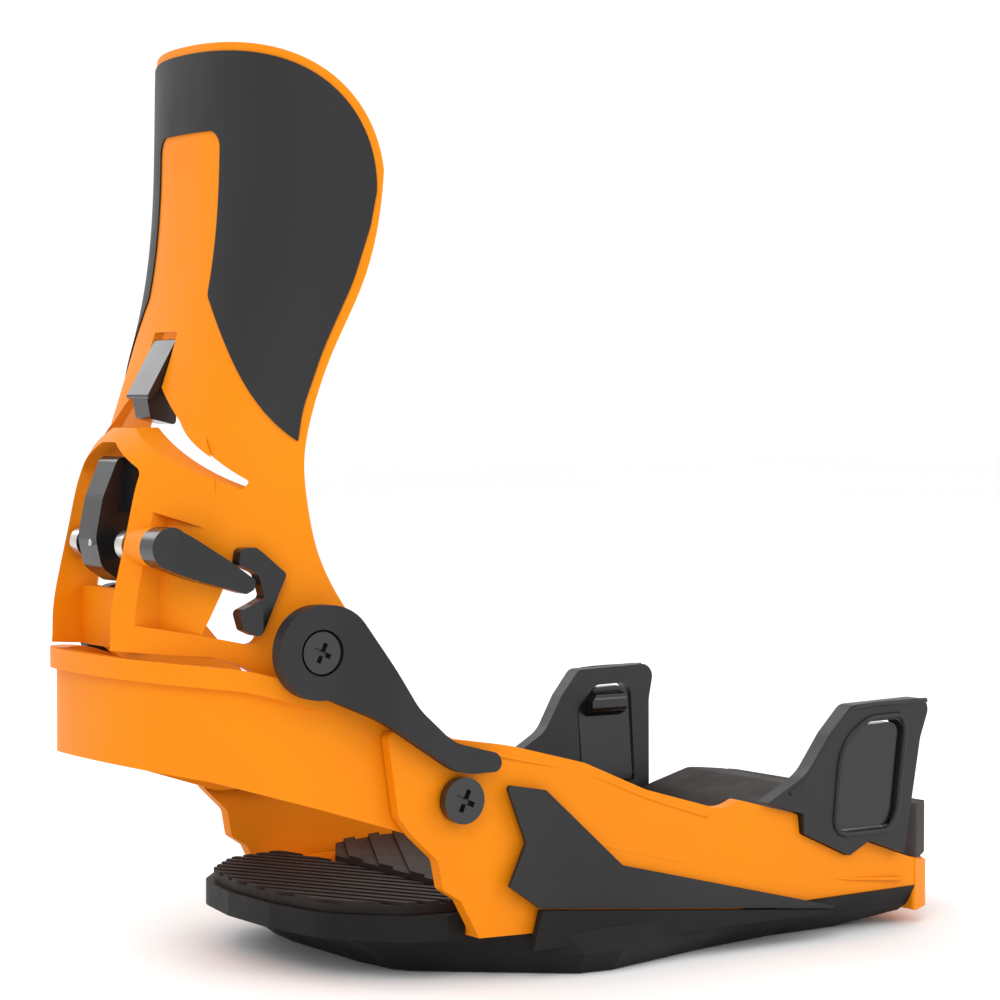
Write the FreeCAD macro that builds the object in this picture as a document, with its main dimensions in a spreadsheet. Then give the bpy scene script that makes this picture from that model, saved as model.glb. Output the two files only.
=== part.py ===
import FreeCAD, Part
import math
import os

# Step-in snowboard binding for a right foot, in millimetres.
# Origin: centre of the mounting disc on the board plane. +X toe, +Y inner side, +Z up.
# Each sub-part is one labelled object; sizes that drive it live in the sheet "Sizes".

V = FreeCAD.Vector
os.makedirs("parts", exist_ok=True)
doc = FreeCAD.newDocument("StepInBinding")
sheet = doc.addObject("Spreadsheet::Sheet", "Sizes")

SIZES = [
    ("floor_low", 12.0, "underside of the baseplate floor"),
    ("floor_high", 18.0, "top of the baseplate floor"),
    ("wall_top_limit", 74.0, "height above which no sidewall reaches"),
    ("disc_flange_r", 50.0, "disc flange radius"),
    ("disc_boss_r", 43.8, "disc boss radius"),
    ("disc_flange_low", 15.0, "underside of the disc flange"),
    ("disc_top", 17.6, "top of the disc"),
    ("disc_gap", 0.3, "gap round the disc"),
    ("slot_pitch", 40.0, "distance between board screws"),
    ("slot_half_width", 3.25, "half the width of a screw slot"),
    ("slot_reach", 4.0, "from a slot's middle to the centre of its end"),
    ("panel_low", 66.0, "distance of a side panel's back from the mid-plane"),
    ("panel_high", 67.3, "distance of a side panel's face from the mid-plane"),
    ("pad_high", 20.4, "top of the heel pad between its ribs"),
    ("rib_height", 0.9, "height of the tread ribs"),
    ("rib_pitch", 5.0, "distance between tread ribs"),
    ("cover_low", 18.2, "underside of the footbed cover"),
    ("cover_high", 22.6, "top of the footbed cover between its ribs"),
    ("cup_wall", 3.4, "heelcup wall"),
    ("cup_rim", 1.8, "how far the heelcup rim stands out"),
    ("bolt_x", -66.6, "heelcup bolt, along the foot"),
    ("bolt_z", 50.4, "heelcup bolt, height"),
    ("bolt_head_r", 6.35, "heelcup bolt head radius"),
    ("bolt_head", 2.8, "heelcup bolt head height"),
    ("bolt_seat", 62.9, "distance of the bolt head's underside from the mid-plane"),
    ("bolt_shank_r", 3.0, "heelcup bolt shank radius"),
    ("bolt_end", 50.6, "distance of the bolt's end from the mid-plane"),
    ("pivot_x", -108.0, "highback pivot, along the foot"),
    ("pivot_z", 92.0, "highback pivot, height"),
    ("pivot_head_r", 5.6, "pivot screw head radius"),
    ("pivot_seat", 58.0, "distance of the pivot screw head's underside from the mid-plane"),
    ("pivot_head", 2.6, "pivot screw head height"),
    ("pivot_shank_r", 3.0, "pivot screw shank radius"),
    ("pivot_end", 40.2, "distance of the pivot screw's end from the mid-plane"),
    ("running_gap", 0.05, "radial running clearance"),
    ("shell", 3.0, "highback wall"),
    ("film", 0.5, "highback film thickness"),
    ("wing", 50.3, "half width of the highback inside the heelcup"),
    ("channel_half", 18.0, "half width of the latch channel"),
    ("pillar", 5.5, "wall between the latch channel and a side pocket"),
    ("lever_x", -139.7, "release shaft, along the foot"),
    ("lever_z", 119.3, "release shaft, height"),
    ("shaft_r", 2.0, "release shaft radius"),
    ("hub_r", 5.6, "release lever hub radius"),
    ("hub_outer", 36.6, "distance of the lever hub's face from the mid-plane"),
    ("hub_inner", 29.1, "distance of the lever hub's back from the mid-plane"),
    ("latch_half", 5.5, "half width of the heel latch"),
    ("roller_r", 4.4, "latch roller radius"),
    ("block_half", 6.4, "half width of the lean adjuster"),
    ("pin_r", 1.0, "jaw pin radius"),
]
for row, (alias, value, note) in enumerate(SIZES, start=1):
    sheet.set("A%d" % row, note)
    sheet.set("B%d" % row, str(value))
    sheet.setAlias("B%d" % row, alias)
doc.recompute()

PLANES = {
    "XY": FreeCAD.Rotation(),
    "XZ": FreeCAD.Rotation(V(1, 0, 0), 90),
    "YZ": FreeCAD.Rotation(V(1, 1, 1), 120),
}


def size(alias):
    """A number from the sheet."""
    return float(sheet.get(alias))


def outline_edges(corners):
    """Lines and tangent arcs of a closed outline whose corners are (x, y) or (x, y, radius)."""
    count = len(corners)
    starts = []
    ends = []
    arcs = []
    for index in range(count):
        here = V(corners[index][0], corners[index][1], 0)
        before = V(corners[index - 1][0], corners[index - 1][1], 0)
        after = V(corners[(index + 1) % count][0], corners[(index + 1) % count][1], 0)
        radius = corners[index][2] if len(corners[index]) > 2 else 0
        back = (before - here).normalize()
        ahead = (after - here).normalize()
        half = back.getAngle(ahead) / 2
        if radius == 0 or abs(half - math.pi / 2) < 1e-4:
            starts.append(here)
            ends.append(here)
            arcs.append(None)
            continue
        reach = radius / math.tan(half)
        first = here + back * reach
        last = here + ahead * reach
        middle = (back + ahead).normalize()
        crown = here + middle * (radius / math.sin(half) - radius)
        starts.append(first)
        ends.append(last)
        arcs.append(Part.Arc(first, crown, last))
    edges = []
    for index in range(count):
        if arcs[index]:
            edges.append(arcs[index])
        line_start = ends[index]
        line_end = starts[(index + 1) % count]
        if line_start.distanceToPoint(line_end) > 1e-6:
            edges.append(Part.LineSegment(line_start, line_end))
    return edges


def sketch(name, plane, *outlines, level="0"):
    """Sketch holding closed outlines; level is its height along the plane's normal."""
    drawing = doc.addObject("Sketcher::SketchObject", name)
    drawing.Placement = FreeCAD.Placement(V(0, 0, 0), PLANES[plane])
    axis = {"XY": "z", "XZ": "y", "YZ": "x"}[plane]
    drawing.setExpression("Placement.Base." + axis, level)
    for corners in outlines:
        for edge in outline_edges(corners):
            drawing.addGeometry(edge, False)
    return drawing


def spline_band(name, outer, inner, level="0"):
    """Flat closed band between two open splines, joined by straight ends."""
    drawing = doc.addObject("Sketcher::SketchObject", name)
    drawing.setExpression("Placement.Base.z", level)
    for points in (outer, inner):
        curve = Part.BSplineCurve()
        curve.interpolate([V(x, y, 0) for x, y in points])
        drawing.addGeometry(curve, False)
    for end in (0, -1):
        start_point = V(outer[end][0], outer[end][1], 0)
        end_point = V(inner[end][0], inner[end][1], 0)
        drawing.addGeometry(Part.LineSegment(start_point, end_point), False)
    return drawing


def spline_cap(name, points, level="0"):
    """Flat closed region between an open spline and the line joining its ends."""
    drawing = doc.addObject("Sketcher::SketchObject", name)
    drawing.setExpression("Placement.Base.z", level)
    curve = Part.BSplineCurve()
    curve.interpolate([V(x, y, 0) for x, y in points])
    drawing.addGeometry(curve, False)
    closing = Part.LineSegment(V(*points[0], 0), V(*points[-1], 0))
    drawing.addGeometry(closing, False)
    return drawing


def extrude(name, drawing, ahead, behind="0"):
    """Solid from a sketch, pushed ahead along its normal and behind it."""
    solid = doc.addObject("Part::Extrusion", name)
    solid.Base = drawing
    solid.DirMode = "Normal"
    solid.Solid = True
    solid.setExpression("LengthFwd", ahead)
    solid.setExpression("LengthRev", behind)
    return solid


def side_plate(name, corners, far, near):
    """Plate drawn in side view on the outer side, from near to far from the mid-plane."""
    return extrude(name, sketch(name + "_outline", "XZ", corners), far, "-(%s)" % near)


def across(name, corners, half):
    """Prism drawn in side view, the same distance each side of the mid-plane."""
    return extrude(name, sketch(name + "_outline", "XZ", corners), half, half)


def upright(name, corners, low, high):
    """Prism drawn in plan, from a low to a high level."""
    return extrude(name, sketch(name + "_outline", "XY", corners), high, "-(%s)" % low)


def lengthwise(name, corners, front, rear):
    """Prism drawn in front view, between two stations along the foot."""
    return extrude(name, sketch(name + "_outline", "YZ", corners), front, "-(%s)" % rear)


def both_sides(half):
    """Full plan outline from its +Y half, listed from heel to toe."""
    other = [(corner[0], -corner[1]) + tuple(corner[2:]) for corner in reversed(half)]
    return list(half) + other


def cut(name, base, *tools):
    """Base with each tool taken away in turn."""
    result = base
    for index, tool in enumerate(tools, start=1):
        last = index == len(tools)
        step = doc.addObject("Part::Cut", name if last else "%s_step_%d" % (name, index))
        step.Base = result
        step.Tool = tool
        result = step
    return result


def fuse(name, *shapes):
    """Union of shapes."""
    result = doc.addObject("Part::MultiFuse", name)
    result.Shapes = list(shapes)
    return result


def common(name, *shapes):
    """What all the shapes share."""
    result = doc.addObject("Part::MultiCommon", name)
    result.Shapes = list(shapes)
    return result


def mirrored(name, source):
    """Copy of a shape on the other side of the mid-plane."""
    result = doc.addObject("Part::Mirroring", name)
    result.Source = source
    result.Normal = V(0, 1, 0)
    return result


def group(name, *shapes):
    """Separate solids kept in one sub-part."""
    result = doc.addObject("Part::Compound", name)
    result.Links = list(shapes)
    return result


def rod(name, radius, start, length, x="0", z="0", direction=V(0, -1, 0)):
    """Round bar; start is its distance from the mid-plane, counted along its direction."""
    bar = doc.addObject("Part::Cylinder", name)
    bar.setExpression("Radius", radius)
    bar.setExpression("Height", length)
    bar.Placement = FreeCAD.Placement(V(0, 0, 0), FreeCAD.Rotation(V(0, 0, 1), direction))
    bar.setExpression("Placement.Base.x", x)
    bar.setExpression("Placement.Base.y", "%g * (%s)" % (direction.y, start))
    bar.setExpression("Placement.Base.z", z)
    return bar


def round_post(name, radius, low, high, x="0", y="0"):
    """Upright round bar between two levels."""
    post = doc.addObject("Part::Cylinder", name)
    post.setExpression("Radius", radius)
    post.setExpression("Height", "(%s) - (%s)" % (high, low))
    post.setExpression("Placement.Base.x", x)
    post.setExpression("Placement.Base.y", y)
    post.setExpression("Placement.Base.z", low)
    return post


def ribs(name, plan_corners, low, high, angle, reach, pitch, width):
    """Parallel tread ribs at an angle to the foot's width, kept inside a plan outline."""
    bars = []
    count = int(reach / pitch)
    turn = FreeCAD.Rotation(V(0, 0, 1), angle)
    for index in range(-count, count + 1):
        bar = doc.addObject("Part::Box", "%s_bar_%d" % (name, index + count))
        bar.Length = width
        bar.Width = 2 * reach
        bar.setExpression("Height", "(%s) - (%s)" % (high, low))
        middle = sum(corner[0] for corner in plan_corners) / len(plan_corners)
        offset = turn.multVec(V(index * pitch - width / 2, -reach, 0))
        bar.Placement = FreeCAD.Placement(V(middle, 0, 0) + offset, turn)
        bar.setExpression("Placement.Base.z", low)
        bars.append(bar)
    zone = upright(name + "_zone", plan_corners, low, high)
    return common(name, fuse(name + "_bars", *bars), zone)


PARTS = []


def finish(shape, label):
    """Label a finished sub-part and put it on the list to write."""
    shape.Label = label
    PARTS.append(shape)
    return shape


# ---------------------------------------------------------------- outlines of the side panels
PANEL = [(-54, 54, 1), (-41, 51.6, 1), (-15, 28.6, 2), (62, 9.8), (62, 9.2), (-43, 19.2),
         (-53, 26), (-47.5, 37.6)]
panel_right = side_plate("panel", PANEL, "Sizes.panel_high", "Sizes.panel_low")
panel_left = mirrored("panel_left", panel_right)

# ---------------------------------------------------------------- tray under the base
GROUND = [(-72, 18), (-70, 33), (-67, 38), (-30, 67), (-19, 68), (19, 58), (50, 52), (97.8, 50)]
WIDEST = [(-80, 20), (-77, 36), (-72, 42), (-31, 71.5), (-18, 72), (22, 64), (55, 60.5), (97.8, 59)]
UNDER_FLOOR = [(-92, 18), (-88, 34), (-74, 48), (-35, 67.6), (-18, 68.6), (22, 67.6), (55, 66.5),
               (97.8, 62.8)]
tray_levels = [
    sketch("tray_ground", "XY", both_sides(GROUND)),
    sketch("tray_widest", "XY", both_sides(WIDEST), level="Sizes.floor_low / 2"),
    sketch("tray_top", "XY", both_sides(UNDER_FLOOR), level="Sizes.floor_low"),
]
tray_hull = doc.addObject("Part::Loft", "tray_hull")
tray_hull.Sections = tray_levels
tray_hull.Solid = True
tray_hull.Ruled = True
tray_side = across("tray_side", [(-95, -1), (76, -1), (76, 0), (98, 3.4), (98, 13), (-95, 13)],
                   "80")
tray_hull_cut = common("tray_hull_cut", tray_hull, tray_side)
skirt_right = side_plate("tray_skirt", [(-46, 8), (-43, 18.7), (60, 8.9), (60, 8)],
                         "Sizes.panel_high + 1.1", "Sizes.panel_low + 0.1")
HEEL_PLATFORM = [(-97, 12, 8), (-93, 34, 16), (-77, 53, 12), (-66, 56), (-60.3, 56)]
heel_platform = upright("heel_platform", both_sides(HEEL_PLATFORM), "Sizes.floor_low - 1",
                        "Sizes.floor_high")
tray_body = fuse("tray_body", tray_hull_cut, skirt_right, mirrored("tray_skirt_left", skirt_right),
                 heel_platform)
tray_hole = round_post("tray_hole", "Sizes.disc_boss_r + 1.5", "-1", "Sizes.floor_low + 1")
finish(cut("tray", tray_body, tray_hole, panel_right, panel_left), "base_tray")

# ---------------------------------------------------------------- baseplate
FLOOR = [(-60, 60), (97.5, 60)]
WALL_OUTER = [(-90, 60.3), (-66, 62, 40), (-30, 65.8, 80), (45, 65.8, 80), (97.5, 62.5)]
WALL_INNER = [(-91, 56.8), (-66, 57.6, 40), (-30, 61.4, 80), (45, 61.4, 80), (98.5, 58.2)]
WALL_SIDE = [(-88, 70, 2), (-50, 64, 30), (-27, 58, 20), (-6, 49, 30), (22, 41.0, 12),
             (27.5, 43.5, 2), (49.5, 37.6, 1), (50.3, 31.8, 1), (68.9, 23.6, 1), (76, 27.5, 1),
             (89, 23, 10), (97.5, 20.2), (97.5, 12), (-60, 12), (-65.5, 22.5), (-71, 26, 2),
             (-72.5, 34, 3), (-80, 41, 3), (-84.5, 46.5, 4)]
floor_slab = upright("floor_slab", both_sides(FLOOR), "Sizes.floor_low", "Sizes.floor_high")
wall_ring = cut(
    "wall_ring",
    upright("wall_outer", both_sides(WALL_OUTER), "Sizes.floor_low", "Sizes.wall_top_limit"),
    upright("wall_inner", both_sides(WALL_INNER), "Sizes.floor_low - 1", "Sizes.wall_top_limit + 1"),
)
walls = common("walls", wall_ring, across("wall_side", WALL_SIDE, "80"))
base_solid = fuse("base_solid", floor_slab, walls)
disc_seat = round_post("disc_seat", "Sizes.disc_flange_r + Sizes.disc_gap", "Sizes.disc_flange_low",
                       "Sizes.floor_high + 1")
disc_hole = round_post("disc_hole", "Sizes.disc_boss_r + Sizes.disc_gap", "Sizes.floor_low - 1",
                       "Sizes.floor_high + 1")
bolt_hole = rod("bolt_hole", "Sizes.bolt_shank_r + 0.2", "-80", "160", "Sizes.bolt_x", "Sizes.bolt_z")
finish(cut("base_cut", base_solid, disc_seat, disc_hole, bolt_hole), "baseplate")

# ---------------------------------------------------------------- dark side panels
finish(panel_right, "side_panel_right")
finish(panel_left, "side_panel_left")

# ---------------------------------------------------------------- heel pad and footbed cover
HEEL_PAD = [(-95, 11, 8), (-91, 33, 15), (-76, 49, 10), (-57, 53, 3), (-56, 46, 2), (-53.5, 30, 2)]
heel_slab = upright("heel_slab", both_sides(HEEL_PAD), "Sizes.floor_high", "Sizes.pad_high")
heel_ribs = ribs("heel_ribs", both_sides(HEEL_PAD), "Sizes.pad_high - 0.2",
                 "Sizes.pad_high + Sizes.rib_height", 28, 75, size("rib_pitch"), 2.6)
finish(fuse("heel_pad_solid", heel_slab, heel_ribs), "heel_pad")

COVER = [(-52.5, 27, 3), (-40, 48, 6), (-20, 55, 10), (56, 55, 6), (71, 46, 6)]
cover_slab = upright("cover_slab", both_sides(COVER), "Sizes.cover_low", "Sizes.cover_high")
cover_ribs = ribs("cover_ribs", both_sides(COVER), "Sizes.cover_high - 0.2",
                  "Sizes.cover_high + Sizes.rib_height", -28, 95, 8.0, 3.6)
finish(fuse("cover_solid", cover_slab, cover_ribs), "footbed_cover")

# ---------------------------------------------------------------- mounting disc
disc_boss = round_post("disc_boss", "Sizes.disc_boss_r", "0", "Sizes.disc_flange_low + 0.1")
disc_flange = round_post("disc_flange", "Sizes.disc_flange_r", "Sizes.disc_flange_low",
                         "Sizes.disc_top")
disc_solid = fuse("disc_solid", disc_boss, disc_flange)
disc_slots = []
for side_x in (-1, 1):
    for side_y in (-1, 1):
        tag = "%s%s" % ("f" if side_x > 0 else "b", "l" if side_y > 0 else "r")
        at_x = "%d * Sizes.slot_pitch / 2" % side_x
        at_y = "%d * Sizes.slot_pitch / 2" % side_y
        ends = []
        for end in (-1, 1):
            end_x = "%s + %d * Sizes.slot_reach" % (at_x, end)
            ends.append(round_post("slot_end_%s_%d" % (tag, end + 1), "Sizes.slot_half_width", "-1",
                                   "Sizes.disc_top + 1", end_x, at_y))
        middle = doc.addObject("Part::Box", "slot_middle_" + tag)
        middle.setExpression("Length", "2 * Sizes.slot_reach")
        middle.setExpression("Width", "2 * Sizes.slot_half_width")
        middle.setExpression("Height", "Sizes.disc_top + 2")
        middle.setExpression("Placement.Base.x", "%s - Sizes.slot_reach" % at_x)
        middle.setExpression("Placement.Base.y", "%s - Sizes.slot_half_width" % at_y)
        middle.setExpression("Placement.Base.z", "-1")
        disc_slots += ends + [middle]
finish(cut("disc_cut", disc_solid, *disc_slots), "mounting_disc")

# ---------------------------------------------------------------- heelcup
CUP_HALF = [(-148.0, 0), (-146.4, 17), (-140.5, 32), (-129.5, 44.8), (-113, 53.2), (-96, 56),
            (-76, 56.4), (-50, 56.4)]


def offset_curve(points, distance):
    """Plan points moved towards the boot by a distance, square to the curve."""
    moved = []
    for index, (x, y) in enumerate(points):
        before = points[max(index - 1, 0)]
        after = points[min(index + 1, len(points) - 1)]
        along = V(after[0] - before[0], after[1] - before[1], 0).normalize()
        moved.append((x - along.y * distance * -1, y - along.x * distance))
    return moved


def cup_curve(distance):
    """Heelcup plan curve from the inner side round the heel to the outer side."""
    half = offset_curve(CUP_HALF, distance)
    half[0] = (CUP_HALF[0][0] + distance, 0)
    rear = [(x, y) for x, y in reversed(half)]
    return rear + [(x, -y) for x, y in half[1:]]


cup_band = spline_band("cup_band", cup_curve(0), cup_curve(size("cup_wall")))
cup_ring = extrude("cup_ring", cup_band, "100", "0")
CUP_SIDE = [(-155, 90.5), (-155, 62.5), (-131, 57.6, 20), (-106, 50, 20), (-78, 41, 6), (-52, 41, 5),
            (-52, 60, 5), (-68, 68, 10), (-94, 78.5, 40), (-125, 87.5, 40)]
cup_wall = common("cup_wall_solid", cup_ring, across("cup_side", CUP_SIDE, "80"))
rim_band = spline_band("rim_band", cup_curve(-size("cup_rim")), cup_curve(size("cup_wall") / 2))
rim_ring = extrude("rim_ring", rim_band, "100", "0")
RIM_SIDE = [(-155, 90.5), (-155, 84.8), (-125, 81.8, 40), (-94, 72.8, 40), (-88.8, 70.8),
            (-88.8, 76.6), (-94, 78.5, 40), (-125, 87.5, 40)]
cup_rim_full = common("cup_rim_full", rim_ring, across("rim_side", RIM_SIDE, "80"))
rim_relief = upright("rim_relief", [(-114, -56), (-86, -56), (-86, -70), (-114, -70)], "60", "100")
cup_rim = cut("cup_rim_solid", cup_rim_full, rim_relief, mirrored("rim_relief_left", rim_relief))
cup_solid = fuse("cup_solid", cup_wall, cup_rim)
cup_bolt_hole = rod("cup_bolt_hole", "Sizes.bolt_shank_r + 0.2", "-80", "160", "Sizes.bolt_x",
                    "Sizes.bolt_z")
finish(cut("cup_cut", cup_solid, cup_bolt_hole), "heelcup")


def cross_recess(name, x, z, outer, depth, reach, width):
    """Two crossed bars that leave a cross recess in a screw head."""
    bars = []
    for angle in (25, 115):
        bar = doc.addObject("Part::Box", "%s_bar_%d" % (name, angle))
        bar.Length = 2 * reach
        bar.Width = depth + 1
        bar.Height = width
        turn = FreeCAD.Rotation(V(0, 1, 0), angle)
        corner = turn.multVec(V(-reach, 0, -width / 2))
        bar.Placement = FreeCAD.Placement(V(x, -outer - 1, z) + corner, turn)
        bars.append(bar)
    return fuse(name, *bars)


# ---------------------------------------------------------------- heelcup bolts and nuts
bolt_head_end = size("bolt_seat") + size("bolt_head")
bolt_head = rod("bolt_head_bar", "Sizes.bolt_head_r", "Sizes.bolt_seat", "Sizes.bolt_head",
                "Sizes.bolt_x", "Sizes.bolt_z")
bolt_shank = rod("bolt_shank_bar", "Sizes.bolt_shank_r", "Sizes.bolt_end",
                 "Sizes.bolt_seat - Sizes.bolt_end + 0.1", "Sizes.bolt_x", "Sizes.bolt_z")
bolt_recess = cross_recess("bolt_recess", size("bolt_x"), size("bolt_z"), bolt_head_end, 1.6, 3.2, 1.5)
bolt_right = cut("bolt_right", fuse("bolt_blank", bolt_head, bolt_shank), bolt_recess)
finish(group("bolts", bolt_right, mirrored("bolt_left", bolt_right)), "heelcup_bolts")
nut_blank = rod("nut_blank", "6.2", "Sizes.bolt_end", "52.5 - Sizes.bolt_end", "Sizes.bolt_x",
                "Sizes.bolt_z")
nut_bore = rod("nut_bore", "Sizes.bolt_shank_r", "Sizes.bolt_end - 1", "5", "Sizes.bolt_x",
               "Sizes.bolt_z")
nut_right = cut("nut_right", nut_blank, nut_bore)
finish(group("nuts", nut_right, mirrored("nut_left", nut_right)), "heelcup_nuts")

# ---------------------------------------------------------------- side arms and highback pivots
ARM = [(-120.6, 104.5, 12.4), (-99.5, 104.5, 11), (-81, 76, 22), (-70.5, 66.5, 14), (-56.5, 62.8, 3),
       (-54.5, 57.8, 2.4), (-68, 57.6, 14), (-92, 73.4, 24), (-105, 79.4, 8), (-120.6, 79.4, 12.4)]
ARM_PLAN = [(-122, 56.3), (-103, 56.3, 20), (-88, 61.6, 20), (-66, 62.6), (-50, 64.4), (-50, 67.6),
            (-66, 66.4), (-88, 65.6, 20), (-103, 60.9, 20), (-122, 60.6)]
arm_side = side_plate("arm_side", ARM, "80", "40")
arm_slab = upright("arm_slab", [(x, -y) + tuple(rest) for x, y, *rest in ARM_PLAN], "40", "120")
arm_solid = common("arm_solid", arm_side, arm_slab)
arm_boss = rod("arm_boss", "8.5", "Sizes.wing + 0.35", "56.5 - Sizes.wing", "Sizes.pivot_x",
               "Sizes.pivot_z")
arm_sink = rod("arm_sink", "Sizes.pivot_head_r + 0.6", "Sizes.pivot_seat", "10", "Sizes.pivot_x",
               "Sizes.pivot_z")
arm_bore = rod("arm_bore", "Sizes.pivot_shank_r + 0.1", "Sizes.wing - 5", "30", "Sizes.pivot_x",
               "Sizes.pivot_z")
arm_right = cut("arm_right", fuse("arm_blank", arm_solid, arm_boss), arm_sink, arm_bore)
finish(arm_right, "side_arm_right")
finish(mirrored("arm_left", arm_right), "side_arm_left")

pivot_head = rod("pivot_head_bar", "Sizes.pivot_head_r", "Sizes.pivot_seat", "Sizes.pivot_head",
                 "Sizes.pivot_x", "Sizes.pivot_z")
pivot_shank = rod("pivot_shank_bar", "Sizes.pivot_shank_r", "Sizes.pivot_end",
                  "Sizes.pivot_seat - Sizes.pivot_end + 0.1", "Sizes.pivot_x", "Sizes.pivot_z")
pivot_recess = cross_recess("pivot_recess", size("pivot_x"), size("pivot_z"),
                            size("pivot_seat") + size("pivot_head"), 1.5, 2.8, 1.3)
pivot_right = cut("pivot_right", fuse("pivot_blank", pivot_head, pivot_shank), pivot_recess)
finish(group("pivots", pivot_right, mirrored("pivot_left", pivot_right)), "pivot_screws")
cap_blank = rod("cap_blank", "6.5", "Sizes.pivot_end", "2.4", "Sizes.pivot_x", "Sizes.pivot_z")
cap_bore = rod("cap_bore", "Sizes.pivot_shank_r", "Sizes.pivot_end - 1", "6", "Sizes.pivot_x",
               "Sizes.pivot_z")
cap_right = cut("cap_right", cap_blank, cap_bore)
finish(group("caps", cap_right, mirrored("cap_left", cap_right)), "pivot_nuts")

# ---------------------------------------------------------------- toe hooks, jaws and their pins
HOOK = [(36, 42.2), (49.5, 49.6, 12), (57, 61, 6), (64.5, 69.2, 4), (96, 70, 4), (92.8, 58, 8),
        (90.4, 22.9), (76.2, 27.8), (68.9, 23.9), (50.6, 32.0), (49.8, 37.9)]
WINDOW = [(63.2, 31.2, 1.5), (63.2, 56.4, 4), (71.1, 63.8, 4), (85.5, 64.1, 4), (85.0, 31.2, 1.5)]
HOOK_SLAB = [(-61.4, 20), (-65.8, 20), (-72, 71), (-66.4, 71)]
JAW = [(64.0, 32.0, 1.5), (64.0, 56.0, 4), (71.4, 62.9, 4), (84.7, 63.2, 4), (84.2, 32.0, 1.5)]
JAW_SLAB = [(-61.9, 24), (-65.3, 24), (-70, 64), (-66.6, 64)]
PIN_START = V(61.4, -64.8, 34.2)
PIN_END = V(87.4, -64.8, 33.6)
pin_direction = (PIN_END - PIN_START).normalize()


def jaw_bar(name, radius, first, length):
    """Round bar along the jaw's hinge line."""
    bar = doc.addObject("Part::Cylinder", name)
    bar.setExpression("Radius", radius)
    bar.Height = length
    start = PIN_START + pin_direction * first
    bar.Placement = FreeCAD.Placement(start, FreeCAD.Rotation(V(0, 0, 1), pin_direction))
    return bar


pin_length = PIN_START.distanceToPoint(PIN_END)
hook_side = side_plate("hook_side", HOOK, "90", "50")
hook_slab = lengthwise("hook_slab", HOOK_SLAB, "120", "0")
hook_window = side_plate("hook_window", WINDOW, "95", "45")
hook_right = cut("hook_right", common("hook_solid", hook_side, hook_slab), hook_window,
                 jaw_bar("hook_pin_hole", "Sizes.pin_r", 0, pin_length))
finish(hook_right, "toe_hook_right")
finish(mirrored("hook_left", hook_right), "toe_hook_left")

jaw_plate = common("jaw_plate", side_plate("jaw_side", JAW, "90", "50"),
                   lengthwise("jaw_slab", JAW_SLAB, "120", "0"))
JAW_LIP = [(-66.8, 62), (-61.5, 60.5, 2.2), (-61.5, 55.5, 2.2), (-66.4, 53)]
jaw_lip = common("jaw_lip", lengthwise("jaw_lip_bar", JAW_LIP, "81", "67"),
                 side_plate("jaw_lip_side", JAW, "90", "50"))
jaw_right = cut("jaw_right", fuse("jaw_blank", jaw_plate, jaw_lip),
                jaw_bar("jaw_pin_hole", "Sizes.pin_r + Sizes.running_gap", 0, pin_length))
finish(jaw_right, "toe_jaw_right")
finish(mirrored("jaw_left", jaw_right), "toe_jaw_left")
pin_right = jaw_bar("pin_right", "Sizes.pin_r", 0, pin_length)
finish(group("pins", pin_right, mirrored("pin_left", pin_right)), "jaw_pins")

# ---------------------------------------------------------------- toe ramp and toe cap
RAMP_PLAN = [(74, 54, 3), (106, 54, 6), (117, 46, 10), (126.5, 28, 30), (128, 8, 30)]
RAMP_SIDE = [(74, 18.3), (74, 25, 3), (84, 31, 20), (101, 35.6, 8), (117, 34.5, 6), (129, 27.5, 3),
             (129, 20, 2), (113, 18.3)]
ramp_plan = upright("ramp_plan", both_sides(RAMP_PLAN), "10", "50")
ramp_side = across("ramp_side", RAMP_SIDE, "60")
ramp_blank = common("ramp_blank", ramp_plan, ramp_side)
groove_zone = []
for index in range(5):
    groove = doc.addObject("Part::Box", "ramp_groove_%d" % index)
    groove.Length = 1.4
    groove.Width = 130
    groove.Height = 6
    turn = FreeCAD.Rotation(V(0, 1, 0), 30)
    groove.Placement = FreeCAD.Placement(V(108.5 + index * 3.6, -65, 36.2 - index * 1.2), turn)
    groove_zone.append(groove)
finish(cut("ramp_cut", ramp_blank, *groove_zone), "toe_ramp")

CAP_PLAN = [(98, 62.4, 1), (106.5, 58, 5), (113, 48, 8), (120, 28, 30), (122, 8, 30)]
CAP_SIDE = [(98, 20, 1), (110, 17.9, 1), (123, 17.9), (123, 11, 2), (106, 4.4, 1), (98, 4.0, 1)]
cap_blank_toe = common("cap_blank_toe", upright("cap_plan", both_sides(CAP_PLAN), "0", "30"),
                       across("cap_side", CAP_SIDE, "70"))
finish(cut("cap_cut", cap_blank_toe, ramp_blank), "toe_cap")

# ---------------------------------------------------------------- highback shell
# Each section: level, spine x, edge x, half width, depth of the rounded heel curve.
SECTIONS = [
    (60, -140.5, -60.0, 47.5, 45.0),
    (76, -140.5, -72.5, 48.2, 45.0),
    (90, -140.5, -84.0, 49.2, 45.0),
    (104, -140.2, -95.5, 50.0, 45.0),
    (118, -139.0, -103.0, 50.4, 45.5),
    (130, -137.0, -105.5, 50.6, 46.0),
    (142, -134.0, -106.0, 50.8, 47.0),
    (156, -129.5, -103.0, 51.0, 47.0),
    (172, -124.0, -97.0, 51.5, 47.0),
    (190, -119.3, -89.0, 52.4, 47.0),
    (208, -116.8, -84.5, 53.0, 47.0),
    (226, -115.9, -83.0, 53.0, 47.0),
    (244, -115.7, -85.0, 52.5, 47.0),
    (260, -115.7, -89.0, 51.5, 47.0),
]
SHELL_ROUNDNESS = 2.3
HOOD_ROUNDNESS = 1.6


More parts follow.
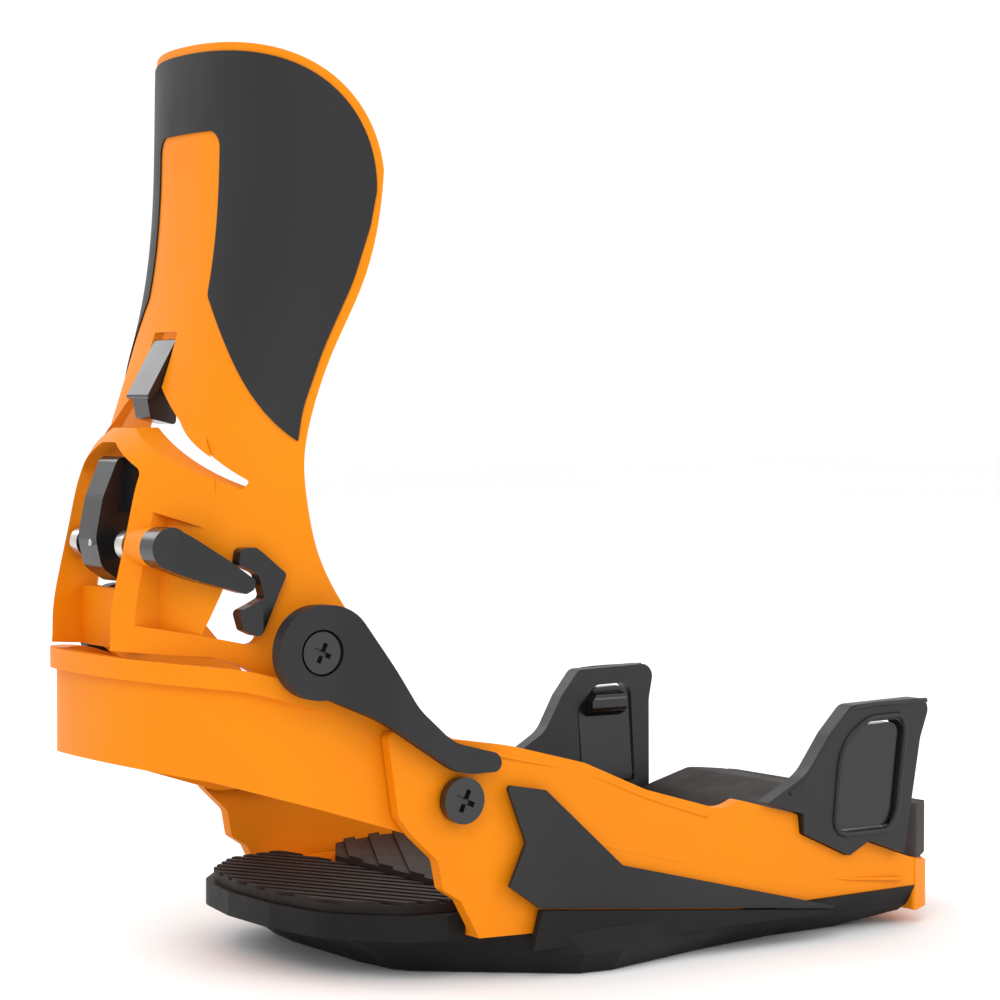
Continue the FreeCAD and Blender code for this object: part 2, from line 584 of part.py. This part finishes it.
def back_curve(spine, edge, half, depth, inset=0.0, roundness=SHELL_ROUNDNESS):
    """Plan curve from one wing edge round the spine to the other: a superellipse, then straight."""
    start = spine + inset
    reach = depth - inset
    width = half - inset
    share = (start + reach - edge) / reach
    last = math.acos(share ** (roundness / 2)) if share > 0 else math.pi / 2
    half_curve = []
    for index in range(9):
        angle = last * index / 8
        x = start + reach * (1 - math.cos(angle) ** (2 / roundness))
        half_curve.append((x, width * math.sin(angle) ** (2 / roundness)))
    if share < 0:
        half_curve[-1] = (half_curve[-1][0] * 0.5 + edge * 0.5, width)
        half_curve.append((edge, width))
    rear = [(x, y) for x, y in reversed(half_curve)]
    return rear + [(x, -y) for x, y in half_curve[1:]]


def loft(name, drawings):
    """Smooth solid through flat sections."""
    solid = doc.addObject("Part::Loft", name)
    solid.Sections = drawings
    solid.Solid = True
    solid.Ruled = False
    return solid


def back_loft(name, outer_inset, inner_inset):
    """Loft through every section between two insets of the outer surface."""
    drawings = []
    for level, spine, edge, half, depth in SECTIONS:
        outer = back_curve(spine, edge, half, depth, outer_inset)
        inner = back_curve(spine, edge, half, depth, inner_inset)
        drawings.append(spline_band("%s_at_%d" % (name, level), outer, inner, str(level)))
    return loft(name, drawings)


shell_loft = back_loft("shell_loft", 0.0, size("shell"))
BACK_SIDE = [(-165, 92.6), (-124, 89.6, 20), (-116, 84, 20), (-98, 75, 20), (-66, 64.5, 3), (-55, 75),
             (-60, 200), (-83, 205), (-83, 257, 41), (-165, 257)]
back_side = across("back_side", BACK_SIDE, "70")
shell_trim = common("shell_trim", shell_loft, back_side)

boot_drawings = []
for level, spine, edge, half, depth in SECTIONS[1:9]:
    middle_curve = back_curve(spine, edge, half, depth, size("shell") / 2)
    boot_drawings.append(spline_cap("boot_space_at_%d" % level, middle_curve, str(level)))
boot_space = loft("boot_space", boot_drawings)

# The hood bulges out behind the shell: level and depth of each section from its widest line.
HOOD_SECTIONS = [(88, 61.8), (98, 60.2), (112, 57.6), (126, 53.8), (138.5, 50.0), (147, 44.2),
                 (153, 37.5), (158, 32.0)]
HOOD_LINE = -96.0
HOOD_HALF = 49.6
hood_drawings = []
for level, depth in HOOD_SECTIONS:
    hood_curve = back_curve(HOOD_LINE - depth, HOOD_LINE - 1, HOOD_HALF, depth,
                            roundness=HOOD_ROUNDNESS)
    hood_drawings.append(spline_cap("hood_at_%d" % level, hood_curve, str(level)))
POCKET = [(-150, 131.5), (-139.5, 129, 8), (-129.7, 124.8), (-121.5, 120, 3), (-111, 111.4, 2),
          (-118.4, 92.8, 2.5), (-131, 96, 6), (-150, 99.5)]
pocket_right = side_plate("pocket", POCKET, "70", "Sizes.channel_half + Sizes.pillar")
pocket_left = mirrored("pocket_left", pocket_right)
HOOD_SIDE = [(-165, 92.6), (-126, 90), (-126, 147), (-123, 158), (-165, 158)]
hood_trim = common("hood_trim", loft("hood_loft", hood_drawings), across("hood_side", HOOD_SIDE, "60"))
lever_boss = rod("lever_boss", "5.2", "19", "Sizes.hub_inner - 19.3", "Sizes.lever_x", "Sizes.lever_z")
hood = fuse("hood", cut("hood_shaped", hood_trim, boot_space, pocket_right, pocket_left), lever_boss)

# Rear view of the latch channel, which is deeper above the bridge at its foot.
APEX = [(18, 139.5, 3), (4, 147, 3), (-4, 147, 3), (-18, 139.5, 3)]
channel = lengthwise("channel", [(-18, 80), (18, 80)] + APEX, "-139.4", "-165")
boot_slot = lengthwise("boot_slot", [(-18, 107), (18, 107)] + APEX, "-120", "-142")
SIDE_WINDOW = [(-122, 119.9, 1), (-111.8, 111.4, 1.5), (-118.8, 93.2, 2.5), (-130.2, 95.8, 1)]
window_right = side_plate("side_window", SIDE_WINDOW, "70", "Sizes.channel_half + Sizes.pillar")
window_left = mirrored("side_window_left", window_right)
SLOT_LEG = [(-4, 164), (-4, 152.2), (-40.4, 134.4, 1), (-41.6, 136.8, 1)]
leg_right = lengthwise("slot_leg", SLOT_LEG, "-90", "-150")
leg_left = mirrored("slot_leg_left", leg_right)
LEAN_SLOT = [(-6.9, 150.8, 1), (6.9, 150.8, 1), (6.9, 177.2, 0.8), (-6.9, 177.2, 0.8)]
lean_slot = lengthwise("lean_slot", LEAN_SLOT, "-110", "-150")
shaft_bore = rod("shaft_bore", "Sizes.shaft_r + Sizes.running_gap", "-60", "120", "Sizes.lever_x",
                 "Sizes.lever_z")
pivot_bore = rod("pivot_bore", "Sizes.pivot_shank_r + Sizes.running_gap", "-60", "120",
                 "Sizes.pivot_x", "Sizes.pivot_z")
highback = cut("highback_cut", fuse("highback_blank", shell_trim, hood), channel, boot_slot,
               window_right, window_left, leg_right, leg_left, lean_slot, shaft_bore, pivot_bore)
finish(highback, "highback")

# ---------------------------------------------------------------- film on the upper back
film_loft = back_loft("film_loft", -size("film"), 0.0)
FILM = [(-17.5, 187, 4), (-51, 142.5), (-60, 142.5), (-60, 254.6), (60, 254.6), (60, 142.5),
        (51, 142.5), (17.5, 187, 4), (17.5, 232, 5), (-17.5, 232, 5)]
film_zone = lengthwise("film_zone", FILM, "-50", "-150")
FILM_SIDE = [(-160, 130), (-108.6, 142, 3), (-105.8, 156, 40), (-99.8, 172, 60), (-91.8, 190, 60),
             (-87.2, 205, 20), (-85.4, 214.5), (-85.4, 254.6, 38.6), (-160, 254.6)]
film_side = across("film_side", FILM_SIDE, "70")
finish(common("film_solid", film_loft, film_zone, film_side), "highback_film")

# ---------------------------------------------------------------- release lever, shaft, latch
LEVER = [(-138.6, 124.9), (-134.6, 122.2, 6), (-120.4, 110.9, 1), (-120.8, 108.4, 1),
         (-122.8, 107.2, 1), (-132.4, 110.3), (-142.6, 114.5, 3), (-143.8, 120, 3)]
LEVER_PLAN = [(-145, -30), (-135.5, -30), (-130, -36), (-126, -40.4), (-118, -43.8), (-118, -48.2),
              (-127, -45), (-133, -40.5), (-138, -36.6), (-145, -36.6)]
lever_arm = common("lever_arm", side_plate("lever_side", LEVER, "60", "20"),
                   upright("lever_slab", LEVER_PLAN, "90", "140"))
lever_hub = rod("lever_hub", "Sizes.hub_r", "Sizes.hub_inner", "Sizes.hub_outer - Sizes.hub_inner",
                "Sizes.lever_x", "Sizes.lever_z")
lever_bore = rod("lever_bore", "Sizes.shaft_r", "Sizes.hub_inner - 1", "6", "Sizes.lever_x",
                 "Sizes.lever_z")
finish(cut("lever_cut", fuse("lever_blank", lever_arm, lever_hub), lever_bore), "release_lever")
finish(rod("shaft", "Sizes.shaft_r", "-22", "Sizes.hub_inner + 27", "Sizes.lever_x",
           "Sizes.lever_z"), "lever_shaft")
CATCH = [(-124.2, 119.4, 1.5), (-120.6, 119.6, 1), (-112.4, 112.4, 1.2), (-119.6, 95.6, 1.5),
         (-123.6, 97.6, 1.2), (-124.8, 102.6, 1.5), (-121.6, 104.4, 1), (-118.6, 106.4, 1.5),
         (-120.2, 112.6, 2), (-124.8, 115.0, 1.5)]
CATCH_PLAN = [(-126, -41.5), (-117.5, -45.4), (-110, -47.6), (-110, -50.2), (-119, -48.8),
              (-126, -45.4)]
catch_blank = common("catch_blank", side_plate("catch_side", CATCH, "60", "30"),
                     upright("catch_slab", CATCH_PLAN, "90", "130"))
finish(cut("catch", catch_blank, highback), "lever_catch")

LATCH = [(-139.8, 142.8, 2), (-134.2, 143.0, 1), (-132.6, 130, 8), (-131.6, 112.6, 3),
         (-138, 108.4, 3), (-144.8, 113, 5), (-146.6, 121, 8), (-144.4, 132, 10)]
latch_strap = across("latch_strap", LATCH, "Sizes.latch_half")
LATCH_WING = [(-137.8, 128), (-134.6, 128), (-134.4, 143.0), (-136.8, 143.0)]
latch_wing = across("latch_wing", LATCH_WING, "10")
latch_bore = rod("latch_bore", "Sizes.shaft_r", "-20", "40", "Sizes.lever_x", "Sizes.lever_z")
finish(cut("latch_cut", fuse("latch_blank", latch_strap, latch_wing), latch_bore), "heel_latch")
rollers = []
for index, start in enumerate(("11.8", "-16.0")):
    roller_blank = rod("roller_blank_%d" % index, "Sizes.roller_r", start, "4.2", "Sizes.lever_x",
                       "Sizes.lever_z")
    roller_bore = rod("roller_bore_%d" % index, "Sizes.shaft_r", "-20", "40", "Sizes.lever_x",
                      "Sizes.lever_z")
    rollers.append(cut("roller_%d" % index, roller_blank, roller_bore))
finish(group("rollers", *rollers), "latch_roller")

# ---------------------------------------------------------------- lean adjuster
LEAN = [(-122.4, 175.2, 0.8), (-119.8, 175.2), (-125.4, 158.8), (-131.8, 158.8, 0.8)]
lean_face = across("lean_face", LEAN, "Sizes.block_half")
LEAN_STEM = [(-130.4, 159.2), (-129.4, 153.4, 1), (-121.6, 151.6, 1), (-121.0, 160.0, 1),
             (-125.0, 160.0)]
lean_stem = across("lean_stem", LEAN_STEM, "Sizes.block_half - 2")
finish(fuse("lean_solid", lean_face, lean_stem), "lean_adjuster")

# ---------------------------------------------------------------- check and write
doc.recompute()
for item in doc.Objects:
    if "Invalid" in item.State or "Error" in item.State:
        raise RuntimeError("%s (%s) did not build" % (item.Label, item.Name))
for part in PARTS:
    shape = part.Shape
    if shape.isNull() or not shape.isValid() or not shape.Solids:
        raise RuntimeError("%s is not a valid solid" % part.Label)
for part in PARTS:
    part.Shape.exportStep("parts/%s.step" % part.Label)
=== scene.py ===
import math

import bmesh
import bpy
from mathutils import Matrix, Vector


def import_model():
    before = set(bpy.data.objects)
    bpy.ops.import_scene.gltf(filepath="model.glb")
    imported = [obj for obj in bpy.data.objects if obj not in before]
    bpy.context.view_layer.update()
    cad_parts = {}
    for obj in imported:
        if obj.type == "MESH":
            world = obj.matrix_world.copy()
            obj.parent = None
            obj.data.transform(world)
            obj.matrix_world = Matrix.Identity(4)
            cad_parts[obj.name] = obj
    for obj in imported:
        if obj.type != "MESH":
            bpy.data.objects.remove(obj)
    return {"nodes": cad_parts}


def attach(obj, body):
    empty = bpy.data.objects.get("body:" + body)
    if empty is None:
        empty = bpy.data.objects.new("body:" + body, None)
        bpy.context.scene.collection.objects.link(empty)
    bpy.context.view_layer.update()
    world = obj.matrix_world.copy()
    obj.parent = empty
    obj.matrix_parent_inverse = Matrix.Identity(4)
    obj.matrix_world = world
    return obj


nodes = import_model()["nodes"]
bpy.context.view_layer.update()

MM_PER_M = 1000

# ------------------------------------------------------------------ camera
AZIMUTH = math.radians(-34.07)
ELEVATION = math.radians(1.92)
CAMERA_PLACE = Vector((-0.49234, -0.71851, 0.15695))


def aim(azimuth, elevation):
    """Rotation whose local Z points back from the subject towards the camera."""
    back = Vector((math.sin(azimuth) * math.cos(elevation),
                   -math.cos(azimuth) * math.cos(elevation),
                   math.sin(elevation)))
    right = Vector((math.cos(azimuth), math.sin(azimuth), 0.0))
    up = back.cross(right)
    return Matrix((right, up, back)).transposed().to_4x4()


camera_data = bpy.data.cameras.new("camera")
camera_data.lens = 104.47
camera_data.sensor_width = 36.0
camera_data.shift_x = -0.0134
camera_data.shift_y = 0.0029
camera_data.clip_start = 0.05
camera = bpy.data.objects.new("camera", camera_data)
bpy.context.collection.objects.link(camera)
camera.matrix_world = Matrix.Translation(CAMERA_PLACE) @ aim(AZIMUTH, ELEVATION)
bpy.context.scene.camera = camera


# ------------------------------------------------------------------ materials
COAT_ROUGHNESS = 0.12
NOISE_LOW, NOISE_HIGH = 0.3, 0.7      # most of a noise texture's values lie between these
RAMP_START, RAMP_END = 0.35, 0.65
TONE_SCALE = 14.0                     # features per metre of the slow colour drift
SHEEN_SCALE = 60.0                    # features per metre of the uneven sheen
LINE_SCALE = 900.0                    # brushed lines per metre across their run
LINE_STRETCH = (1.0, 0.08, 1.0)       # the lines run along Y
MOULDED_RELIEF = 0.00008              # height of the moulded grain in metres
BRUSHED_RELIEF = 0.00003              # height of the brushed lines in metres


def shader(name, colour, roughness, metallic=0.0, coat=0.0, specular=0.5):
    """New material with a principled shader whose even values sit on its own sockets."""
    material = bpy.data.materials.new(name)
    material.use_nodes = True
    surface = material.node_tree.nodes["Principled BSDF"]
    surface.inputs["Base Color"].default_value = (*colour, 1.0)
    surface.inputs["Roughness"].default_value = roughness
    surface.inputs["Metallic"].default_value = metallic
    surface.inputs["Coat Weight"].default_value = coat
    surface.inputs["Coat Roughness"].default_value = COAT_ROUGHNESS
    surface.inputs["Specular IOR Level"].default_value = specular
    return material, surface


def noise(tree, scale, detail=3.0, rough=0.5, stretch=(1.0, 1.0, 1.0)):
    """Noise in the object's own space; scale counts features per metre."""
    place = tree.nodes.new("ShaderNodeTexCoord")
    mapping = tree.nodes.new("ShaderNodeMapping")
    mapping.inputs["Scale"].default_value = stretch
    texture = tree.nodes.new("ShaderNodeTexNoise")
    texture.inputs["Scale"].default_value = scale
    texture.inputs["Detail"].default_value = detail
    texture.inputs["Roughness"].default_value = rough
    tree.links.new(place.outputs["Object"], mapping.inputs["Vector"])
    tree.links.new(mapping.outputs["Vector"], texture.inputs["Vector"])
    return texture.outputs["Fac"]


def remap(tree, source, low, high):
    """Noise stretched so that its usual span becomes low..high."""
    ranged = tree.nodes.new("ShaderNodeMapRange")
    ranged.inputs["From Min"].default_value = NOISE_LOW
    ranged.inputs["From Max"].default_value = NOISE_HIGH
    ranged.inputs["To Min"].default_value = low
    ranged.inputs["To Max"].default_value = high
    tree.links.new(source, ranged.inputs["Value"])
    return ranged.outputs["Result"]


def vary_colour(tree, surface, source, first, second):
    """Base colour that drifts between two close tones."""
    ramp = tree.nodes.new("ShaderNodeValToRGB")
    ramp.color_ramp.elements[0].position = RAMP_START
    ramp.color_ramp.elements[1].position = RAMP_END
    ramp.color_ramp.elements[0].color = (*first, 1.0)
    ramp.color_ramp.elements[1].color = (*second, 1.0)
    tree.links.new(source, ramp.inputs["Fac"])
    tree.links.new(ramp.outputs["Color"], surface.inputs["Base Color"])


def grain(tree, surface, source, strength, distance):
    """Fine surface relief; distance is its height in metres."""
    bump = tree.nodes.new("ShaderNodeBump")
    bump.inputs["Strength"].default_value = strength
    bump.inputs["Distance"].default_value = distance
    tree.links.new(source, bump.inputs["Height"])
    tree.links.new(bump.outputs["Normal"], surface.inputs["Normal"])


def moulded(name, first, second, low, high, grain_scale, strength, specular, coat=0.0):
    """Moulded plastic: slow tone drift, uneven sheen and a fine spark-eroded grain."""
    material, surface = shader(name, first, (low + high) / 2, coat=coat, specular=specular)
    tree = material.node_tree
    vary_colour(tree, surface, noise(tree, TONE_SCALE, 2.0), first, second)
    sheen = noise(tree, SHEEN_SCALE, 5.0, 0.6)
    tree.links.new(remap(tree, sheen, low, high), surface.inputs["Roughness"])
    grain(tree, surface, noise(tree, grain_scale, 2.0), strength, MOULDED_RELIEF)
    return material


def brushed(name, first, second, low, high):
    """Bare steel with fine lines that run along the width axis, Y."""
    material, surface = shader(name, first, (low + high) / 2, metallic=1.0)
    tree = material.node_tree
    vary_colour(tree, surface, noise(tree, 90.0, 4.0), first, second)
    lines = noise(tree, LINE_SCALE, 3.0, 0.6, stretch=LINE_STRETCH)
    tree.links.new(remap(tree, lines, low, high), surface.inputs["Roughness"])
    grain(tree, surface, lines, 0.25, BRUSHED_RELIEF)
    return material


orange = moulded("orange_shell", (0.740, 0.205, 0.001), (0.770, 0.224, 0.001), 0.46, 0.58, 2600.0, 0.10,
                 specular=0.14)
dark = moulded("dark_plastic", (0.011, 0.011, 0.012), (0.017, 0.017, 0.018), 0.42, 0.56, 2200.0, 0.25,
               specular=0.3)
hook_dark = moulded("hook_plastic", (0.008, 0.008, 0.009), (0.013, 0.013, 0.014), 0.36, 0.50, 1800.0,
                    0.35, specular=0.35)
film_dark = moulded("dark_film", (0.015, 0.015, 0.016), (0.019, 0.019, 0.020), 0.46, 0.56, 3200.0, 0.08,
                    specular=0.22)
tray_dark = moulded("tray_plastic", (0.006, 0.006, 0.006), (0.010, 0.010, 0.010), 0.50, 0.64, 2000.0, 0.30,
                    specular=0.18)
tread = moulded("tread_rubber", (0.016, 0.012, 0.011), (0.024, 0.018, 0.016), 0.58, 0.75, 1500.0, 0.40,
                specular=0.25)
gloss = moulded("gloss_black", (0.004, 0.004, 0.005), (0.008, 0.008, 0.009), 0.20, 0.32, 1400.0, 0.08,
                coat=0.25, specular=0.35)
black_steel = moulded("black_steel", (0.004, 0.004, 0.005), (0.007, 0.007, 0.008), 0.18, 0.30, 1200.0,
                      0.06, coat=0.4, specular=0.4)
steel = brushed("bare_steel", (0.50, 0.49, 0.48), (0.64, 0.63, 0.61), 0.22, 0.38)

NODE_MATERIALS = {
    "base_tray": tray_dark, "baseplate": orange, "side_panel_right": dark, "side_panel_left": dark,
    "heel_pad": tread, "footbed_cover": tread, "mounting_disc": dark, "heelcup": orange,
    "heelcup_bolts": black_steel, "heelcup_nuts": steel, "side_arm_right": dark,
    "side_arm_left": dark, "pivot_screws": black_steel, "pivot_nuts": steel,
    "toe_hook_right": hook_dark, "toe_hook_left": hook_dark, "toe_jaw_right": gloss,
    "toe_jaw_left": gloss, "jaw_pins": steel, "toe_ramp": tread, "toe_cap": orange,
    "highback": orange, "highback_film": film_dark, "release_lever": gloss, "lever_shaft": black_steel,
    "lever_catch": gloss, "heel_latch": gloss, "latch_roller": steel, "lean_adjuster": gloss,
}
for name, material in NODE_MATERIALS.items():
    piece = nodes[name]
    piece.data.materials.clear()
    piece.data.materials.append(material)

BEVEL_SEGMENTS = 3
BEVEL_ANGLE = math.radians(32)        # flatter edges stay as they are
BEVELS = {                            # widths in millimetres
    "baseplate": 0.8, "heelcup": 0.7, "highback": 0.35, "side_arm_right": 1.2, "side_arm_left": 1.2,
    "toe_hook_right": 0.9, "toe_hook_left": 0.9, "toe_jaw_right": 0.8, "toe_jaw_left": 0.8,
    "toe_ramp": 0.5, "toe_cap": 0.8, "release_lever": 1.2, "heel_latch": 1.8, "lean_adjuster": 0.5,
    "lever_catch": 1.2, "heelcup_bolts": 0.5, "pivot_screws": 0.4, "heel_pad": 0.3,
    "footbed_cover": 0.4, "base_tray": 0.8, "latch_roller": 0.4, "side_panel_right": 0.3,
    "side_panel_left": 0.3,
}
for name, width in BEVELS.items():
    bevel = nodes[name].modifiers.new("edge", "BEVEL")
    bevel.width = width / MM_PER_M
    bevel.segments = BEVEL_SEGMENTS
    bevel.limit_method = "ANGLE"
    bevel.angle_limit = BEVEL_ANGLE
    bevel.harden_normals = True


# ------------------------------------------------------------------ mesh-built details
BEAD_SIDES = 10
CORNER_ROUNDS = 2


def softened(points, closed):
    """Points with their corners cut so that the line bends gently."""
    for _ in range(CORNER_ROUNDS):
        result = [] if closed else [points[0]]
        count = len(points) if closed else len(points) - 1
        for index in range(count):
            first = points[index]
            second = points[(index + 1) % len(points)]
            result.append(first.lerp(second, 0.25))
            result.append(first.lerp(second, 0.75))
        if not closed:
            result.append(points[-1])
        points = result
    return points


def bead(name, points, radius, material, body, closed=False):
    """Round bar swept along points; points and radius are in millimetres."""
    line = softened([Vector(point) / MM_PER_M for point in points], closed)
    build = bmesh.new()
    rings = []
    for index, point in enumerate(line):
        if closed:
            ahead = line[(index + 1) % len(line)] - line[index - 1]
        else:
            ahead = line[min(index + 1, len(line) - 1)] - line[max(index - 1, 0)]
        ahead.normalize()
        across_way = ahead.cross(Vector((0, 1, 0))).normalized()
        out_way = across_way.cross(ahead).normalized()
        ring = []
        for step in range(BEAD_SIDES):
            turn = 2 * math.pi * step / BEAD_SIDES
            offset = across_way * math.cos(turn) + out_way * math.sin(turn)
            ring.append(build.verts.new(point + offset * radius / MM_PER_M))
        rings.append(ring)
    last = len(rings) if closed else len(rings) - 1
    for index in range(last):
        here = rings[index]
        after = rings[(index + 1) % len(rings)]
        for step in range(BEAD_SIDES):
            other = (step + 1) % BEAD_SIDES
            build.faces.new((here[step], here[other], after[other], after[step]))
    if not closed:
        build.faces.new(rings[0])
        build.faces.new(list(reversed(rings[-1])))
    bmesh.ops.recalc_face_normals(build, faces=build.faces)
    for face in build.faces:
        face.smooth = True
    mesh = bpy.data.meshes.new(name)
    build.to_mesh(mesh)
    build.free()
    piece = bpy.data.objects.new(name, mesh)
    bpy.context.collection.objects.link(piece)
    mesh.materials.append(material)
    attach(piece, body)


# The hook's outer face leans outwards: from foot to top it rises and moves out by these lengths.
HOOK_FOOT_Y, HOOK_FOOT_Z = 65.8, 20
HOOK_FACE_OUT, HOOK_FACE_RISE = 6.2, 51


def hook_face(x, z, side, proud=0.0):
    """Point on the sloping outer face of a toe hook."""
    return (x, side * (HOOK_FOOT_Y + (z - HOOK_FOOT_Z) * HOOK_FACE_OUT / HOOK_FACE_RISE + proud), z)


# Side wall's top edge as (x, z, y); the other lines are (x, z), all in millimetres.
WALL_EDGE = [(-60, 65.0, 62.6), (-50, 62.2, 63.6), (-27, 57.4, 65.4), (-6, 48.4, 65.6), (16, 41.4, 65.6)]
HOOK_INNER_RIM = [(62.0, 30.4), (62.0, 43), (62.0, 57.2), (70.8, 65.0), (78, 65.2), (86.8, 65.4),
                  (86.2, 48), (86.0, 30.4), (74, 30.4)]
HOOK_BACK = [(44, 44.4), (50, 48.2), (56, 57.6), (63.4, 67.6), (70, 69.0), (94, 69.0)]
CREASE = [(-46, 44.6), (-20, 33.6), (20, 24.6), (60, 17.4), (92, 14.6)]
CREASE_Y = 65.35                      # the side wall tapers in towards the toe, so the crease
CREASE_TOE_Y = 64.0                   # lies nearer the middle from CREASE_TOE_START on
CREASE_TOE_START = 50
for side, word in ((-1, "right"), (1, "left")):
    edge_points = [(x, side * (y - 0.1), z - 1.6) for x, z, y in WALL_EDGE]
    bead("wall_bead_" + word, edge_points, 0.75, orange, "base")
    inner_points = [hook_face(x, z, side) for x, z in HOOK_INNER_RIM]
    bead("hook_inner_rim_" + word, inner_points, 0.9, hook_dark, "base", closed=True)
    back_points = [hook_face(x, z, side, -0.3) for x, z in HOOK_BACK]
    bead("hook_back_rim_" + word, back_points, 0.8, hook_dark, "base")
    crease_points = [(x, side * (CREASE_Y if x < CREASE_TOE_START else CREASE_TOE_Y), z)
                     for x, z in CREASE]
    bead("wall_crease_" + word, crease_points, 0.55, orange, "base")
bead("latch_pin", [(-147.0, -2.6, 119.8), (-144.0, -2.6, 119.8)], 0.95, steel, "release")


# ------------------------------------------------------------------ studio
FLOOR_LEVEL = -0.0004                 # just below the tray, in metres
floor_mesh = bpy.data.meshes.new("studio_floor")
floor_build = bmesh.new()
bmesh.ops.create_grid(floor_build, x_segments=2, y_segments=2, size=6.0)
floor_build.to_mesh(floor_mesh)
floor_build.free()
floor = bpy.data.objects.new("studio_floor", floor_mesh)
bpy.context.collection.objects.link(floor)
floor.location.z = FLOOR_LEVEL
floor_material, floor_surface = shader("studio_paper", (0.93, 0.93, 0.93), 0.8)
tree = floor_material.node_tree
vary_colour(tree, floor_surface, noise(tree, 1.5), (0.925, 0.925, 0.925), (0.94, 0.94, 0.94))
floor.data.materials.append(floor_material)

world = bpy.data.worlds.new("studio")
bpy.context.scene.world = world
world.use_nodes = True
world.node_tree.nodes["Background"].inputs["Color"].default_value = (1.0, 1.0, 1.0, 1.0)
world.node_tree.nodes["Background"].inputs["Strength"].default_value = 1.06
bpy.context.scene.view_settings.view_transform = "Standard"


def softbox(name, place, target, size, power):
    """Square area light aimed at a target."""
    data = bpy.data.lights.new(name, "AREA")
    data.shape = "SQUARE"
    data.size = size
    data.energy = power
    lamp = bpy.data.objects.new(name, data)
    bpy.context.collection.objects.link(lamp)
    lamp.location = place
    away = Vector(place) - Vector(target)
    lamp.rotation_euler = away.to_track_quat("Z", "Y").to_euler()


softbox("key", (-0.9, -1.0, 1.3), (0, 0, 0.1), 0.9, 8.0)
softbox("side", (0.9, -1.1, 0.7), (0, 0, 0.1), 0.8, 4.5)
softbox("back", (-0.3, 1.2, 1.1), (0, 0, 0.15), 1.0, 7.0)
